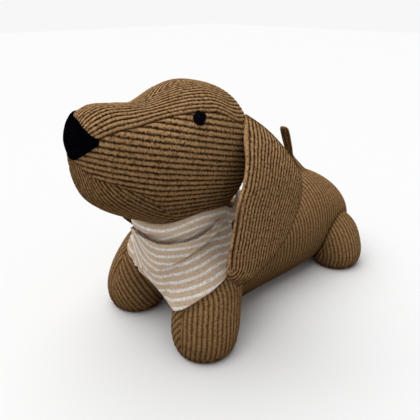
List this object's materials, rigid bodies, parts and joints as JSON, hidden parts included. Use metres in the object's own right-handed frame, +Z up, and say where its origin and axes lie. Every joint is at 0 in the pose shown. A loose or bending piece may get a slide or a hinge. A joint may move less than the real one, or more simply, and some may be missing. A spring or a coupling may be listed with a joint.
{
  "type": "weighted fabric door stop",
  "caption": "Stuffed corduroy dachshund that stands on the floor and holds a door open by its sand-filled weight, with hanging ears and a striped linen neckerchief.",
  "frame": {"origin": "on the floor, under the middle of the box around the whole dog", "axes": "the dog looks along -Y, its left side is +X, +Z is up"},
  "size_m": [0.153, 0.3118, 0.2079],
  "materials": {
    "corduroy": "brown wide-wale cotton corduroy, matt, lighter on the ribs than in the grooves",
    "nose_felt": "black wool felt, matt",
    "eye_thread": "knotted black embroidery thread with a slight sheen",
    "striped_linen": "plain-woven linen with beige and off-white stripes",
    "pouch_canvas": "unbleached cotton canvas pouch filled with dry sand"
  },
  "bodies": {
    "root": {"torso": "corduroy", "belly_panel": "corduroy", "weight_bag": "pouch_canvas", "head": "corduroy", "nose_patch": "nose_felt", "eye_left": "eye_thread", "eye_right": "eye_thread", "ear_left": "corduroy", "ear_right": "corduroy", "foreleg_left": "corduroy", "foreleg_right": "corduroy", "hindleg_left": "corduroy", "hindleg_right": "corduroy", "tail": "corduroy", "neckerchief": "striped_linen"}
  },
  "joints": []
}
